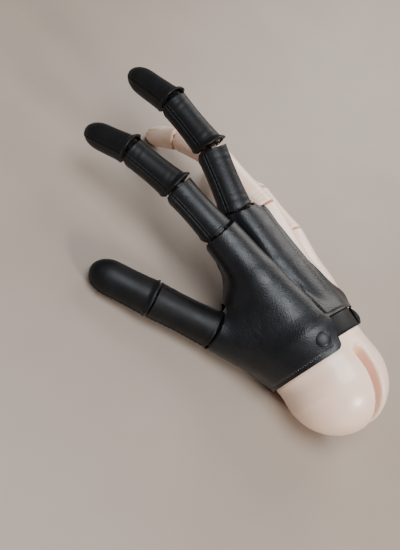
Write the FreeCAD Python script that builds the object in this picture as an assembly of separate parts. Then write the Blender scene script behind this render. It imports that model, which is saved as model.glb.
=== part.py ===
import FreeCAD, Part
import math
import os
from FreeCAD import Placement, Rotation, Vector

# A life-size jointed right hand, palm down. Cast phalanges turn on steel pins with friction washers. Thumb,
# index and middle fingers wear leather sleeves, the palm wears a leather cover with a snapped wrist strap, and
# the ring and little fingers are bare. The rounded wrist end is slotted for the forearm's wrist bolt.
#
# Frame: millimetres, origin at the centre of the wrist ball, +Y towards the fingers, +Z out of the back of the
# hand, +X towards the little finger. The hand stands on the ball and on its thumb, ring and little fingertips.

X, Y, Z = Vector(1, 0, 0), Vector(0, 1, 0), Vector(0, 0, 1)

# ---------------------------------------------------------------- driving dimensions
LEATHER = 0.85            # thickness of sleeves, cover and strap
SKIN_GAP = 0.05           # leather to casting
JOINT_GAP = 0.3           # half the gap between two phalanges on the back of a straight finger

BALL_RADIUS = 25.8
WRIST_RADIUS = 24.85
WRIST_END = 27.0          # where the round wrist starts to taper into the palm
SLOT_WIDTH = 6.0
SLOT_FLOOR = 9.0          # radius of the slot's floor about the ball's centre
SLOT_START = -14.0        # degrees past the back of the wrist, towards the fingers
SLOT_STOP = 194.0

INSERT_RADIUS = 3.0
INSERT_BORE = 2.1         # M5 tapped
INSERT_BACK = 5.0         # blind end of the insert, on the finger side of the ball's centre

CUFF_EDGE = 11.5          # edge of the cover round the wrist
FLAP_EDGE = -8.0          # free edge of the cover's flap on the back of the wrist
STRAP_NEAR, STRAP_FAR = 16.5, 26.3
TAB_START, TAB_STOP = 42.0, 98.0   # degrees round the wrist from its back, towards the little finger

SNAP_RADIUS, SNAP_HEIGHT = 4.2, 1.8
SNAP_STUD_RADIUS = 1.6
CUFF_SNAP_ANGLE, CUFF_SNAP_Y = -32.0, 19.4
STRAP_SNAP_ANGLE, STRAP_SNAP_Y = 58.0, 21.0

# Hinge proportions, as parts of the finger's outer radius at that joint
PIVOT_DROP = 0.20         # hinge axis below the finger's centre line
LOBE_RADIUS = 0.42        # rounded cheeks and tongue about the pin
TONGUE_HALF = 0.24
SLOT_HALF = 0.28
LOBE_OUT = 0.50
POCKET_OUT = 0.54
PIN_RADIUS = 0.15
POCKET_GAP = 0.35         # mm, round the cheeks
PIN_FIT = 0.05            # mm, radial clearance of the tongue on its pin
BEVEL_SPARE = 2.0         # degrees beyond half the full flexion
WASHER_GAP = 0.05         # mm, washer to tongue

# Fingertip: length of the rounded end, and its radius where the rounding starts, as parts of the phalanx
TIP_ROUNDING = 0.36
TIP_FULLNESS = 0.93

# Each digit: knuckle centre, spread (degrees, + towards the thumb), rise of each phalanx above level (degrees),
# lengths, outer radii at each joint, tip fullness, whether it wears leather, how far each joint still bends
# from the modelled pose and how far it still opens (degrees).
FINGERS = {
    "index": dict(knuckle=(-22, 88.5, 12.5), spread=18, rise=(6, -6, -23), length=(29, 28, 27.5),
                  radius=(8.3, 7.9, 7.3), clad=True, bend=(60, 58, 40), opening=(4, 12, 17)),
    "middle": dict(knuckle=(-4, 96.5, 14), spread=7, rise=(22, 0, -17), length=(32, 30, 30.5),
                   radius=(8.3, 7.9, 7.4), clad=True, bend=(74, 50, 41), opening=(4, 22, 17)),
    "ring": dict(knuckle=(14.5, 92, 12), spread=3, rise=(-6.5, -29, -44.6), length=(38, 28, 26),
                 radius=(7.8, 7.2, 6.6), clad=False, bend=(50, 45, 40), opening=(4, 22, 15)),
    "little": dict(knuckle=(30, 76, 4), spread=-6, rise=(-10.2, -26.5, -38.5), length=(31, 21, 21),
                   radius=(7.0, 6.4, 5.8), clad=False, bend=(45, 50, 40), opening=(4, 16, 14)),
    "thumb": dict(knuckle=(-36, 52, -13.0), spread=37, rise=(-2.6, -8.8), length=(33, 33),
                  radius=(9.5, 9.0), clad=True, bend=(30, 45), opening=(4, 6), roll=-35),
}
SEGMENTS = {3: ("proximal", "middle", "distal"), 2: ("proximal", "distal")}
JOINTS = {3: ("knuckle", "mid", "tip"), 2: ("knuckle", "tip")}

# The palm is a group of tapered rounded rods: start, end, start radius, end radius (outer, leather included
# where the leather lies). The first five run to the knuckles.
METACARPAL_STARTS = {
    "index": ((-7, 22, 4), 12.5),
    "middle": ((-2, 22, 5), 12.5),
    "ring": ((9, 24, 5), 12.5),
    "little": ((14, 26, 2), 12.0),
    "thumb": ((-4, 18, -4), 19.5),
}
PALM_FILL = (
    ((0, 12, 0), (0, 52, 2), 24.85, 14.5),
    ((0, 26, -4), (-11, 74, 3), 13, 9.5),
    ((5, 26, -4), (6, 76, 3), 13, 9.5),
    ((14, 26, -6), (21, 66, 1), 13, 9),
    ((13, 26, 0), (21, 44, -1), 17, 15),
    ((21, 44, -3), (26, 58, -3), 13.5, 10.5),
    ((-32, 46, -11), (-18, 64, 3), 8.5, 7),
)


# ---------------------------------------------------------------- shape helpers
def rod(start, end, radius_start, radius_end):
    """Tapered rod with tangent round ends, turned as one profile."""
    start, end = Vector(*start), Vector(*end)
    length = (end - start).Length
    tilt = math.asin((radius_start - radius_end) / length)

    def rim(centre, radius, angle):
        return Vector(radius * math.cos(angle), 0, centre + radius * math.sin(angle))

    shoulder_a = rim(0, radius_start, tilt)
    shoulder_b = rim(length, radius_end, tilt)
    low, high = Vector(0, 0, -radius_start), Vector(0, 0, length + radius_end)
    middle_a = rim(0, radius_start, (tilt - math.pi / 2) / 2)
    middle_b = rim(length, radius_end, (tilt + math.pi / 2) / 2)
    profile = Part.Wire([
        Part.Arc(low, middle_a, shoulder_a).toShape(),
        Part.makeLine(shoulder_a, shoulder_b),
        Part.Arc(shoulder_b, middle_b, high).toShape(),
        Part.makeLine(high, low),
    ])
    solid = Part.Face(profile).revolve(Vector(), Z, 360)
    solid.Placement = Placement(start, Rotation(Z, end - start))
    return solid


def cylinder_x(radius, x_low, x_high, y=0.0, z=0.0):
    """Cylinder along local X."""
    return Part.makeCylinder(radius, x_high - x_low, Vector(x_low, y, z), X)


def prism_x(points, half_width):
    """Prism along local X from (y, z) points."""
    wire = Part.makePolygon([Vector(-half_width, y, z) for y, z in points + points[:1]])
    return Part.Face(wire).extrude(Vector(2 * half_width, 0, 0))


def prism_z(points, low, high):
    """Upright prism from (x, y) points."""
    wire = Part.makePolygon([Vector(x, y, low) for x, y in points + points[:1]])
    return Part.Face(wire).extrude(Vector(0, 0, high - low))


def placed(shape, placement):
    shape = shape.copy()
    shape.Placement = placement.multiply(shape.Placement)
    return shape


def join(shapes):
    return shapes[0].multiFuse(shapes[1:])


def largest(shape):
    return max(shape.Solids, key=lambda solid: solid.Volume)


# ---------------------------------------------------------------- hinge pieces, in a phalanx's local frame
# Local +Y runs along the phalanx, local +Z is its back, and the hinge axis is parallel to local X.
class Hinge:
    """One pinned joint: its sizes, and the solids that cut or fill the two pieces it joins."""

    def __init__(self, name, radius, full_bend, y):
        self.name, self.radius, self.y = name, radius, y
        self.drop = PIVOT_DROP * radius
        self.lobe = LOBE_RADIUS * radius
        self.pin = PIN_RADIUS * radius
        self.slope = math.tan(math.radians(full_bend / 2 + BEVEL_SPARE))

    def at(self, y):
        """The same hinge seen from a phalanx where it lies at another Y."""
        twin = Hinge.__new__(Hinge)
        twin.__dict__.update(self.__dict__)
        twin.y = y
        return twin

    def seam(self, side, reach):
        """(y, z) points of the end face, from the palm side up: bevelled below the hinge, square above it."""
        y_face = self.y + side * JOINT_GAP
        return [(y_face + side * (reach - self.drop) * self.slope, -reach), (y_face, -self.drop), (y_face, reach)]

    def cylinder(self, radius, x_low, x_high):
        return cylinder_x(radius, x_low, x_high, self.y, -self.drop)

    def both_sides(self, radius, x_in, x_out):
        return [self.cylinder(radius, x_in, x_out), self.cylinder(radius, -x_out, -x_in)]

    def add_cheeks(self, body):
        """Distal end of the inner piece: two rounded cheeks either side of a slot, drilled for the pin."""
        r = self.radius
        body = join([body] + self.both_sides(self.lobe, SLOT_HALF * r - 0.01, LOBE_OUT * r))
        body = body.cut(self.cylinder(self.lobe + POCKET_GAP / 2, -SLOT_HALF * r, SLOT_HALF * r))
        return body.cut(self.cylinder(self.pin, -r, r))

    def add_tongue(self, body):
        """Proximal end of the outer piece: a pocket for the cheeks with a drilled tongue between them."""
        r = self.radius
        disc = self.lobe - POCKET_GAP / 2
        pocket = self.cylinder(self.lobe + POCKET_GAP, -POCKET_OUT * r, POCKET_OUT * r)
        neck = Part.makeBox(2 * TONGUE_HALF * r, self.lobe + 1.5, 1.5 * disc,
                            Vector(-TONGUE_HALF * r, self.y, -self.drop - 0.75 * disc))
        tongue = self.cylinder(disc, -TONGUE_HALF * r, TONGUE_HALF * r)
        return join([body.cut(pocket), neck, tongue]).cut(self.cylinder(self.pin + PIN_FIT, -r, r))

    def pin_solid(self):
        return self.cylinder(self.pin, -LOBE_OUT * self.radius, LOBE_OUT * self.radius)

    def washers(self):
        """Two thin rings that press on the tongue and hold the joint where it is put."""
        inner, outer = TONGUE_HALF * self.radius + WASHER_GAP, SLOT_HALF * self.radius
        rings = []
        for solid in self.both_sides(0.7 * self.lobe, inner, outer):
            rings.append(solid.cut(self.cylinder(self.pin + 0.02, -self.radius, self.radius)))
        return Part.makeCompound(rings)


def shell_profile(radius_start, radius_end, length, is_tip):
    """Solid of revolution about local Y: a tapered barrel, or a barrel that closes in a round fingertip."""
    if not is_tip:
        return Part.makeCone(radius_start, radius_end, length, Vector(), Y)
    centre = Vector(0, (1 - TIP_ROUNDING) * length, 0)
    corner, tip = centre + Vector(TIP_FULLNESS * radius_start, 0, 0), Vector(0, length, 0)
    far, near = sorted((corner, tip), key=lambda point: (point - centre).Length, reverse=True)
    profile = Part.Wire(Part.__sortEdges__([
        Part.makeLine(Vector(radius_start, 0, 0), corner),
        Part.ArcOfEllipse(Part.Ellipse(far, near, centre), 0, math.pi / 2).toShape(),
        Part.makeLine(tip, Vector()),
        Part.makeLine(Vector(), Vector(radius_start, 0, 0)),
    ]))
    return Part.Face(profile).revolve(Vector(), Y, 360)


def trim_outline(near, far, length, reach):
    """(y, z) outline that keeps the stretch between two seams; the tip has no far seam."""
    points = near.seam(1, reach)
    if far:
        return points + list(reversed(far.seam(-1, reach)))
    return points + [(length + 5, reach), (length + 5, -reach)]


# ---------------------------------------------------------------- digits
class Digit:
    def __init__(self, name, knuckle, spread, rise, length, radius, clad, bend, opening, roll=0):
        self.name, self.clad, self.length, self.radius = name, clad, length, radius
        self.bend, self.opening = bend, opening
        self.skin = LEATHER + SKIN_GAP if clad else 0.0
        self.segments = SEGMENTS[len(length)]
        self.hinges = [Hinge(f"{name}_{joint}", radius[i], bend[i] + opening[i], 0.0)
                       for i, joint in enumerate(JOINTS[len(length)])]
        turn = Rotation(Z, spread).multiply(Rotation(X, rise[0])).multiply(Rotation(Y, roll))
        self.places = [Placement(Vector(*knuckle), turn)]
        for i in range(1, len(length)):
            inner, hinge = self.places[-1], self.hinges[i]
            pivot = inner.multVec(Vector(0, length[i - 1], -hinge.drop))
            turn = turn.multiply(Rotation(X, rise[i] - rise[i - 1]))
            self.places.append(Placement(pivot + turn.multVec(Vector(0, 0, hinge.drop)), turn))
        # The palm's side of the knuckle, turned to where the joint would be fully open
        hinge = self.hinges[0]
        pivot = self.places[0].multVec(Vector(0, 0, -hinge.drop))
        open_turn = self.places[0].Rotation.multiply(Rotation(X, opening[0]))
        self.palm_place = Placement(pivot + open_turn.multVec(Vector(0, 0, hinge.drop)), open_turn)

    def pivot(self, i):
        return self.places[i].multVec(Vector(0, 0, -self.hinges[i].drop))

    def axis(self, i):
        """Hinge axis; the thumb's is reversed so that closing the thumb is positive."""
        return self.places[i].Rotation.multVec(-X if self.name == "thumb" else X)

    def limits(self, i):
        low, high = -self.bend[i], self.opening[i]
        return (-high, -low) if self.name == "thumb" else (low, high)

    def core_and_sleeve(self, i):
        """Local solids of phalanx i: the drilled casting, and its sleeve or None."""
        is_tip = i == len(self.segments) - 1
        length, start = self.length[i], self.radius[i]
        end = start if is_tip else self.radius[i + 1]
        near = self.hinges[i]
        far = None if is_tip else self.hinges[i + 1].at(length)
        outline = trim_outline(near, far, length, 1.6 * start)
        keep = prism_x(outline, 1.5 * start)
        tip_cut = self.skin if is_tip else 0.0
        core = shell_profile(start - self.skin, end - self.skin, length - tip_cut, is_tip).common(keep)
        core = near.add_tongue(core)
        if far:
            core = far.add_cheeks(core)
        if not self.clad:
            return largest(core), None
        outer = shell_profile(start, end, length, is_tip)
        inner = shell_profile(start - LEATHER, end - LEATHER, length - (LEATHER if is_tip else 0.0), is_tip)
        return largest(core), largest(outer.cut(inner).common(keep))

    def palm_cutter(self):
        """Room in front of the knuckle for the proximal phalanx and its swing."""
        hinge, reach = self.hinges[0], 45
        points = hinge.seam(-1, reach)
        outline = points + [(60, reach), (60, -reach)]
        return placed(prism_x(outline, self.radius[0] + 0.9), self.palm_place)


# ---------------------------------------------------------------- palm
def palm_rods(digits, inset, all_clad=False):
    """The palm's rods, with their outer radii reduced by inset under leather, clear of the strap's path."""
    rods = []
    for digit in digits:
        start, radius = METACARPAL_STARTS[digit.name]
        end_inset = inset if digit.clad or all_clad else 0.0
        rods.append(rod(start, tuple(digit.palm_place.Base), radius - inset, digit.radius[0] - end_inset))
    for start, end, radius_start, radius_end in PALM_FILL:
        rods.append(rod(start, end, radius_start - inset, radius_end - inset))
    reach = 3 * BALL_RADIUS
    strap_side = Part.makeBox(reach - FLAP_EDGE, STRAP_FAR + 0.3 + reach, 2 * reach, Vector(FLAP_EDGE, -reach, -reach))
    strap_path = strap_side.cut(wrist_barrel(WRIST_RADIUS, -reach - 1, reach))
    return [solid.cut(strap_path) for solid in rods]


def wrist_barrel(radius, y_low, y_high):
    return Part.makeCylinder(radius, y_high - y_low, Vector(0, y_low, 0), Y)


def slot_tool():
    """Slot of the wrist end, in the hand's middle plane, with a round floor and two round ends."""
    reach = 3 * BALL_RADIUS
    angles = [SLOT_START + (SLOT_STOP - SLOT_START) * step / 4 for step in range(5)]
    fan = [(0.0, 0.0)] + [(-reach * math.sin(math.radians(a)), reach * math.cos(math.radians(a))) for a in angles]
    tools = [prism_x(fan, SLOT_WIDTH / 2)]
    for angle in (SLOT_START, SLOT_STOP):
        along = Vector(0, -math.sin(math.radians(angle)), math.cos(math.radians(angle)))
        tools.append(Part.makeCylinder(SLOT_WIDTH / 2, 2 * BALL_RADIUS, Vector(), along))
    return join(tools).cut(cylinder_x(SLOT_FLOOR, -SLOT_WIDTH, SLOT_WIDTH))


def build_palm(digits):
    """The palm's casting, and its plain outer form before knuckles and slot are cut."""
    solids = palm_rods(digits, LEATHER + SKIN_GAP)
    body = join([Part.makeSphere(BALL_RADIUS), wrist_barrel(WRIST_RADIUS, 0, WRIST_END)] + solids)
    uncut = body
    for digit in digits:
        body = body.cut(digit.palm_cutter())
    for digit in digits:
        local = placed(body, digit.palm_place.inverse())
        body = placed(digit.hinges[0].add_cheeks(local), digit.palm_place)
    body = body.cut(slot_tool())
    return largest(body.cut(wrist_barrel(INSERT_RADIUS, -SLOT_FLOOR - 1, INSERT_BACK))), uncut


def wrist_insert():
    """Tapped brass bush, flush with the slot's round floor."""
    bush = wrist_barrel(INSERT_RADIUS, -SLOT_FLOOR - 1, INSERT_BACK)
    bush = bush.cut(wrist_barrel(INSERT_BORE, -SLOT_FLOOR - 1, INSERT_BACK))
    return bush.common(cylinder_x(SLOT_FLOOR, -SLOT_WIDTH, SLOT_WIDTH))


def build_cover(digits, palm_form):
    """Leather over the thumb, index and middle side of the palm, open at the wrist's little-finger side."""
    outer = join([wrist_barrel(WRIST_RADIUS + LEATHER + SKIN_GAP, 0, WRIST_END)]
                 + palm_rods(digits, 0.0, True))
    inner = join([wrist_barrel(WRIST_RADIUS + SKIN_GAP, -1, WRIST_END + 1)] + palm_rods(digits, LEATHER, True))
    region = prism_z([
        (-80, CUFF_EDGE), (FLAP_EDGE, CUFF_EDGE), (FLAP_EDGE, STRAP_FAR + 0.2), (50, STRAP_FAR + 0.2),
        (50, 31), (35, 34), (24.5, 42.5), (11, 95), (11, 120), (-80, 120),
    ], -50, 50)
    cover = outer.cut(inner).common(region).cut(palm_form)
    for digit in digits:
        cover = cover.cut(digit.palm_cutter())
    stud = snap_stud(CUFF_SNAP_ANGLE, CUFF_SNAP_Y, WRIST_RADIUS)
    return largest(cover.cut(stud))


# ---------------------------------------------------------------- strap and snaps
def radial(angle):
    """Outward direction round the wrist, degrees from its back towards the little finger."""
    return Vector(math.sin(math.radians(angle)), 0, math.cos(math.radians(angle)))


def band(inner, outer, y_low, y_high, start, stop):
    """Part of a ring round the wrist, between two angles from its back."""
    ring = wrist_barrel(outer, y_low, y_high).cut(wrist_barrel(inner, y_low - 1, y_high + 1))
    reach = 2 * BALL_RADIUS
    angles = [start + (stop - start) * step / 4 for step in range(5)]
    fan = [Vector()] + [radial(angle) * reach for angle in angles] + [Vector()]
    wedge = Part.Face(Part.makePolygon([point + Vector(0, y_low - 1, 0) for point in fan]))
    return ring.common(wedge.extrude(Vector(0, y_high - y_low + 2, 0)))


def snap_stud(angle, y, base_radius, height=LEATHER + SKIN_GAP):
    """Stud through the leather, between the casting and the cap."""
    direction = radial(angle)
    return Part.makeCylinder(SNAP_STUD_RADIUS, height, direction * base_radius + Vector(0, y, 0), direction)


def snap_cap(angle, y, base_radius):
    """Low domed cap with a flat back that sits just clear of the leather's curve."""
    dome = (SNAP_RADIUS ** 2 + SNAP_HEIGHT ** 2) / (2 * SNAP_HEIGHT)
    cap = Part.makeSphere(dome, Vector(0, 0, SNAP_HEIGHT - dome))
    cap = cap.common(Part.makeCylinder(SNAP_RADIUS, 2 * SNAP_HEIGHT))
    direction = radial(angle)
    cap.Placement = Placement(direction * base_radius + Vector(0, y, 0), Rotation(Z, direction))
    return cap


def build_strap():
    flap_angle = math.degrees(math.asin(FLAP_EDGE / WRIST_RADIUS))
    outer = WRIST_RADIUS + SKIN_GAP + LEATHER
    strap = band(WRIST_RADIUS + SKIN_GAP, outer, STRAP_NEAR, STRAP_FAR, flap_angle + 1, 180 - flap_angle - 1)
    return strap.cut(snap_stud(STRAP_SNAP_ANGLE, STRAP_SNAP_Y, WRIST_RADIUS, 2 * LEATHER + 3 * SKIN_GAP))


def build_tab():
    inner = WRIST_RADIUS + 2 * SKIN_GAP + LEATHER
    tab = band(inner, inner + LEATHER, STRAP_NEAR + 0.6, STRAP_FAR - 0.6, TAB_START, TAB_STOP)
    return tab.cut(snap_stud(STRAP_SNAP_ANGLE, STRAP_SNAP_Y, WRIST_RADIUS, 2 * LEATHER + 3 * SKIN_GAP))


# ---------------------------------------------------------------- assembly
def digit_nodes(digit):
    """Named solids of one digit, in the hand's frame."""
    nodes = {}
    last = len(digit.segments) - 1
    for i, segment in enumerate(digit.segments):
        core, sleeve = digit.core_and_sleeve(i)
        nodes[f"{digit.name}_{segment}"] = placed(core, digit.places[i])
        if sleeve:
            nodes[f"{digit.name}_{segment}_sleeve"] = placed(sleeve, digit.places[i])
        if i < last:
            hinge = digit.hinges[i + 1].at(digit.length[i])
            nodes[f"{hinge.name}_pin"] = placed(hinge.pin_solid(), digit.places[i])
            nodes[f"{hinge.name}_washers"] = placed(hinge.washers(), digit.places[i])
    return nodes


def build_hand():
    digits = [Digit(name, **sizes) for name, sizes in FINGERS.items()]
    palm, palm_form = build_palm(digits)
    nodes = {"palm": palm, "palm_cover": build_cover(digits, palm_form), "wrist_insert": wrist_insert(),
             "wrist_strap": build_strap(), "strap_tab": build_tab()}
    cuff_top = WRIST_RADIUS + SKIN_GAP + LEATHER
    strap_top = cuff_top + SKIN_GAP + LEATHER
    nodes["cuff_snap_cap"] = snap_cap(CUFF_SNAP_ANGLE, CUFF_SNAP_Y, cuff_top)
    nodes["strap_snap_cap"] = snap_cap(STRAP_SNAP_ANGLE, STRAP_SNAP_Y, strap_top)
    nodes["cuff_snap_stud"] = snap_stud(CUFF_SNAP_ANGLE, CUFF_SNAP_Y, WRIST_RADIUS)
    nodes["strap_snap_stud"] = snap_stud(STRAP_SNAP_ANGLE, STRAP_SNAP_Y, WRIST_RADIUS, strap_top - WRIST_RADIUS)
    for digit in digits:
        knuckle = digit.hinges[0]
        nodes[f"{knuckle.name}_pin"] = placed(knuckle.pin_solid(), digit.palm_place)
    washers = [placed(digit.hinges[0].washers(), digit.palm_place) for digit in digits]
    nodes["knuckle_washers"] = Part.makeCompound([ring for pair in washers for ring in pair.Solids])
    for digit in digits:
        nodes.update(digit_nodes(digit))
    return digits, nodes


digits, nodes = build_hand()
os.makedirs("parts", exist_ok=True)
for name, shape in nodes.items():
    shape.exportStep(f"parts/{name}.step")
    print(f"{name:28s} solids {len(shape.Solids)}  volume {shape.Volume:9.1f} mm3  valid {shape.isValid()}")
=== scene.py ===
import math

import bpy
import numpy as np
import openvdb
from mathutils import Matrix, Vector


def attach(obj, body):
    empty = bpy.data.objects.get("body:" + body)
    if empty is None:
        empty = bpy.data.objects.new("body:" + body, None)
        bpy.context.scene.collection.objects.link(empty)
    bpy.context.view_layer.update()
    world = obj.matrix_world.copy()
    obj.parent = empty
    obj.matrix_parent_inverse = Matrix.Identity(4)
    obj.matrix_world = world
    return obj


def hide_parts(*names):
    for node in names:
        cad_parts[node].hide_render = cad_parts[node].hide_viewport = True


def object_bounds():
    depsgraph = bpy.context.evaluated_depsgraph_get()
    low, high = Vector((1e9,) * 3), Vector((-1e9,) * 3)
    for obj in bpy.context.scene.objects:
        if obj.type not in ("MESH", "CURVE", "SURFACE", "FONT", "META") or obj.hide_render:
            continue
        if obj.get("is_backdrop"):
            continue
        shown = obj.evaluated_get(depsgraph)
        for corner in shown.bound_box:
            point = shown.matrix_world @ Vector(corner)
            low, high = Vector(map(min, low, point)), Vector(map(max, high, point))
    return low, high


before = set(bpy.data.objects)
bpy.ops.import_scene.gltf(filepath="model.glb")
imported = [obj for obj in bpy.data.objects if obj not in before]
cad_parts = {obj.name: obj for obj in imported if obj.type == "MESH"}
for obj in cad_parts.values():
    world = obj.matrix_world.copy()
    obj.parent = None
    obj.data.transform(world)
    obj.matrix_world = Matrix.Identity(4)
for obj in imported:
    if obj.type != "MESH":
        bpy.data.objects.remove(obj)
cad_low, cad_high = (tuple(corner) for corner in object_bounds())

# Lengths below are millimetres in the hand's own frame: origin at the wrist ball's centre, +Y to the fingers,
# +Z out of the back of the hand, +X to the little finger. Meshes are scaled to metres when a piece is made.
MM = 0.001

LEATHER = 0.85            # the leather's thickness
SKIN = 0.9                # outside of the leather above the casting
JOINT_GAP = 0.3           # from a hinge's plane to the material on each side of it
BALL_RADIUS = 25.8
WRIST_RADIUS = 24.85      # of the casting, under the strap
WRIST_MIDDLE, WRIST_HALF = 12, 14.4                 # the wrist barrel's middle and half length along Y
SLOT_HALF = 3.0           # half the width of the slot in the ball
SLOT_FLOOR = 9.0          # from the ball's centre
SLOT_LEAN = math.radians(14)
INSERT_RADIUS, INSERT_TOP = 3.0, 5                  # the bore for the brass bush, and where it ends along Y
STRAP_NEAR, STRAP_FAR = 16.5, 26.3                  # the strap's edges along Y
FLAP_EDGE = -8.0          # X of the cover's edge by the strap: the strap's path is clear past it
STITCH_LINE = 13.7        # Y of the cuff's stitches
PALM_LOW = -23.6          # Z where the palm's rods are flattened underneath
KNUCKLE_ROOM, THUMB_ROOM = 0.9, 4.0                 # room past each side of a knuckle

# knuckle: the knuckle's place            spread: degrees the digit points sideways
# rise: degrees each segment points up    length: of each segment, along its centre line
# radius: outer radius at each joint      clad: whether it has leather sleeves
# swing: each joint's whole travel        opening: degrees of the knuckle's travel past rest
# roll: degrees the digit is turned about its own length
DIGITS = {
    "index": dict(knuckle=(-22, 88.5, 12.5), spread=18, rise=(6, -6, -23), length=(29, 28, 27.5),
                  radius=(8.3, 7.9, 7.3), clad=True, swing=(64, 70, 57), opening=4),
    "middle": dict(knuckle=(-4, 96.5, 14), spread=7, rise=(22, 0, -17), length=(32, 30, 30.5),
                   radius=(8.3, 7.9, 7.4), clad=True, swing=(78, 72, 58), opening=4),
    "ring": dict(knuckle=(14.5, 92, 12), spread=3, rise=(-6.5, -29, -44.6), length=(38, 28, 26),
                 radius=(7.8, 7.2, 6.6), clad=False, swing=(54, 67, 55), opening=4),
    "little": dict(knuckle=(30, 76, 4), spread=-6, rise=(-10.2, -26.5, -38.5), length=(31, 21, 21),
                   radius=(7.0, 6.4, 5.8), clad=False, swing=(49, 66, 54), opening=4),
    "thumb": dict(knuckle=(-36, 52, -13), spread=37, rise=(-2.6, -8.8), length=(33, 33),
                  radius=(9.5, 9.0), clad=True, swing=(34, 51), opening=4, roll=-35),
}
SEGMENTS = {3: ("proximal", "middle", "distal"), 2: ("proximal", "distal")}

# Hinge proportions, as parts of the finger's outer radius at the joint
PIVOT_DROP = 0.20         # the pin's distance below the finger's centre line
LOBE = 0.60               # the fork's cheeks and the tongue, round the pin
TONGUE_HALF = 0.24        # half the tongue's width
SLOT_IN_FORK = 0.28       # half the width of the fork's slot
LOBE_OUT = 0.62           # the cheeks' outer faces
POCKET_OUT = 0.66         # the sides of the pocket round the cheeks
LOBE_WALL = 0.85          # lobes stay inside this part of the finger's radius
PIN = 0.15

POCKET_GAP = 0.35         # in millimetres, round the lobes


# ---------------------------------------------------------------- materials
BETWEEN = 0.3, 0.7        # a noise texture's usual low and high values


class Shader:
    """A Principled material with a few shorthand ways of adding procedural detail."""

    def __init__(self, name, roughness, metallic=0.0, **sockets):
        self.material = bpy.data.materials.new(name)
        self.material.use_nodes = True
        self.nodes, self.links = self.material.node_tree.nodes, self.material.node_tree.links
        self.bsdf = self.nodes["Principled BSDF"]
        self.bsdf.inputs["Roughness"].default_value = roughness
        self.bsdf.inputs["Metallic"].default_value = metallic
        for socket, value in sockets.items():
            self.bsdf.inputs[socket.replace("_", " ")].default_value = value
        self.coordinates = self.nodes.new("ShaderNodeTexCoord").outputs["Object"]

    def mapped(self, scale):
        mapping = self.nodes.new("ShaderNodeMapping")
        mapping.inputs["Scale"].default_value = scale
        self.links.new(self.coordinates, mapping.inputs["Vector"])
        return mapping.outputs["Vector"]

    def noise(self, size_mm, detail=3.0, roughness=0.55, stretch=(1, 1, 1)):
        node = self.nodes.new("ShaderNodeTexNoise")
        node.inputs["Scale"].default_value = 1000.0 / size_mm
        node.inputs["Detail"].default_value = detail
        node.inputs["Roughness"].default_value = roughness
        self.links.new(self.mapped(stretch), node.inputs["Vector"])
        return node.outputs["Fac"]

    def cells(self, size_mm, feature="SMOOTH_F1", stretch=(1, 1, 1)):
        node = self.nodes.new("ShaderNodeTexVoronoi")
        node.feature = feature
        node.inputs["Scale"].default_value = 1000.0 / size_mm
        self.links.new(self.mapped(stretch), node.inputs["Vector"])
        return node.outputs["Distance"]

    def remap(self, value, low, high, out_low, out_high):
        """The value taken from one range to another, clamped."""
        node = self.nodes.new("ShaderNodeMapRange")
        for socket, number in zip(("From Min", "From Max", "To Min", "To Max"), (low, high, out_low, out_high)):
            node.inputs[socket].default_value = number
        self.links.new(value, node.inputs["Value"])
        return node.outputs["Result"]

    def ramp(self, value, stops):
        """A colour from (position, colour) stops."""
        node = self.nodes.new("ShaderNodeValToRGB")
        elements = node.color_ramp.elements
        while len(elements) < len(stops):
            elements.new(0.5)
        for element, (position, colour) in zip(elements, stops):
            element.position = position
            element.color = (*colour, 1)
        self.links.new(value, node.inputs["Fac"])
        return node.outputs["Color"]

    def mix(self, factor, first, second):
        """A colour between first and second; each of the three is a number, a colour or another node's output."""
        node = self.nodes.new("ShaderNodeMix")
        node.data_type = "RGBA"
        for socket, value in ((node.inputs[0], factor), (node.inputs[6], first), (node.inputs[7], second)):
            if isinstance(value, (int, float, tuple)):
                socket.default_value = (*value, 1) if isinstance(value, tuple) else value
            else:
                self.links.new(value, socket)
        return node.outputs[2]

    def near(self, point_mm, inner_mm, outer_mm):
        """1 within inner_mm of a point, falling to 0 at outer_mm."""
        node = self.nodes.new("ShaderNodeVectorMath")
        node.operation = "DISTANCE"
        node.inputs[1].default_value = tuple(c * MM for c in point_mm)
        self.links.new(self.coordinates, node.inputs[0])
        return self.remap(node.outputs["Value"], inner_mm * MM, outer_mm * MM, 1.0, 0.0)

    def product(self, first, second):
        node = self.nodes.new("ShaderNodeMath")
        node.operation = "MULTIPLY"
        self.links.new(first, node.inputs[0])
        self.links.new(second, node.inputs[1])
        return node.outputs["Value"]

    def attribute(self, name):
        node = self.nodes.new("ShaderNodeAttribute")
        node.attribute_name = name
        return node.outputs["Fac"]

    def colour(self, output):
        self.links.new(output, self.bsdf.inputs["Base Color"])

    def set(self, socket, output):
        self.links.new(output, self.bsdf.inputs[socket])

    def bump(self, height, depth_mm, strength=1.0):
        """Adds a bump layer on top of those already there."""
        node = self.nodes.new("ShaderNodeBump")
        node.inputs["Distance"].default_value = depth_mm * MM
        node.inputs["Strength"].default_value = strength
        self.links.new(height, node.inputs["Height"])
        socket = self.bsdf.inputs["Normal"]
        if socket.is_linked:
            self.links.new(socket.links[0].from_socket, node.inputs["Normal"])
        self.links.new(node.outputs["Normal"], socket)


PORE_COLOUR = 0.002, 0.002, 0.0022
WRINKLES = -25, 36, -2    # the middle of the cover's wrinkled patch


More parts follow.
